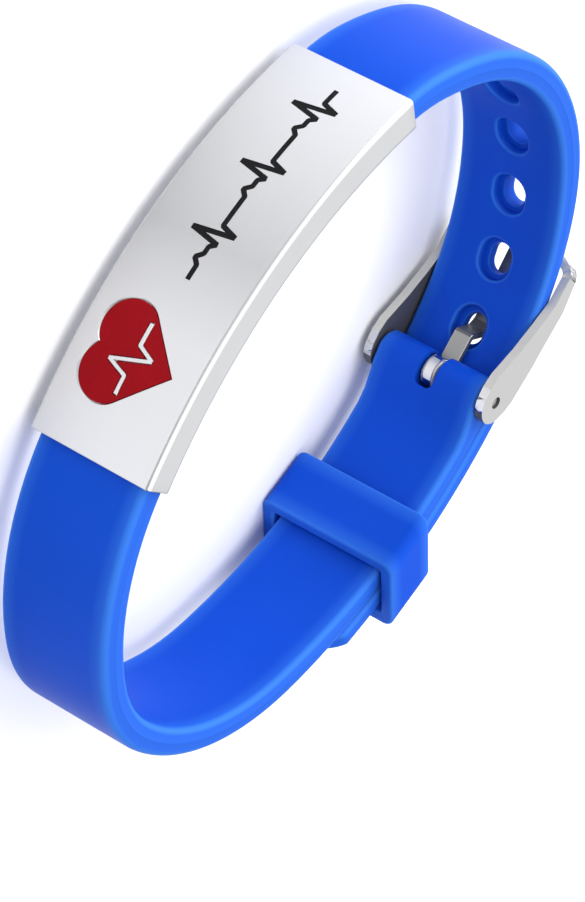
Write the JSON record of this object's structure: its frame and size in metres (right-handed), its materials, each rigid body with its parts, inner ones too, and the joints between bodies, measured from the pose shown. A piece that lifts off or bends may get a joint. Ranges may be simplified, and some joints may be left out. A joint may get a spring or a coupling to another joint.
{
  "type": "medical alert bracelet",
  "caption": "Soft strap bracelet, closed by a pin buckle and a keeper, with a curved steel identity plate that carries a red enamel heart and an engraved heartbeat line",
  "frame": {"origin": "middle of the bounding box in X and Y, at the lowest point of the keeper", "axes": "the bracelet lies on its side: Z is the axis of the loop and points up, X runs along the loop's longer side and the emblem is towards +X, and the plate faces -Y"},
  "size_m": [0.0714, 0.054, 0.0155],
  "materials": {
    "strap": "satin moulded silicone",
    "plate": "fine satin",
    "enamel": "glossy enamel",
    "engraving": "matt black fill",
    "buckle": "polished steel"
  },
  "bodies": {
    "root": {"strap": "strap", "id_plate": "plate", "emblem_enamel": "enamel", "engraving_fill": "engraving", "keeper": "strap", "buckle_frame": "buckle", "buckle_pin": "buckle", "buckle_tongue": "buckle"}
  },
  "joints": []
}
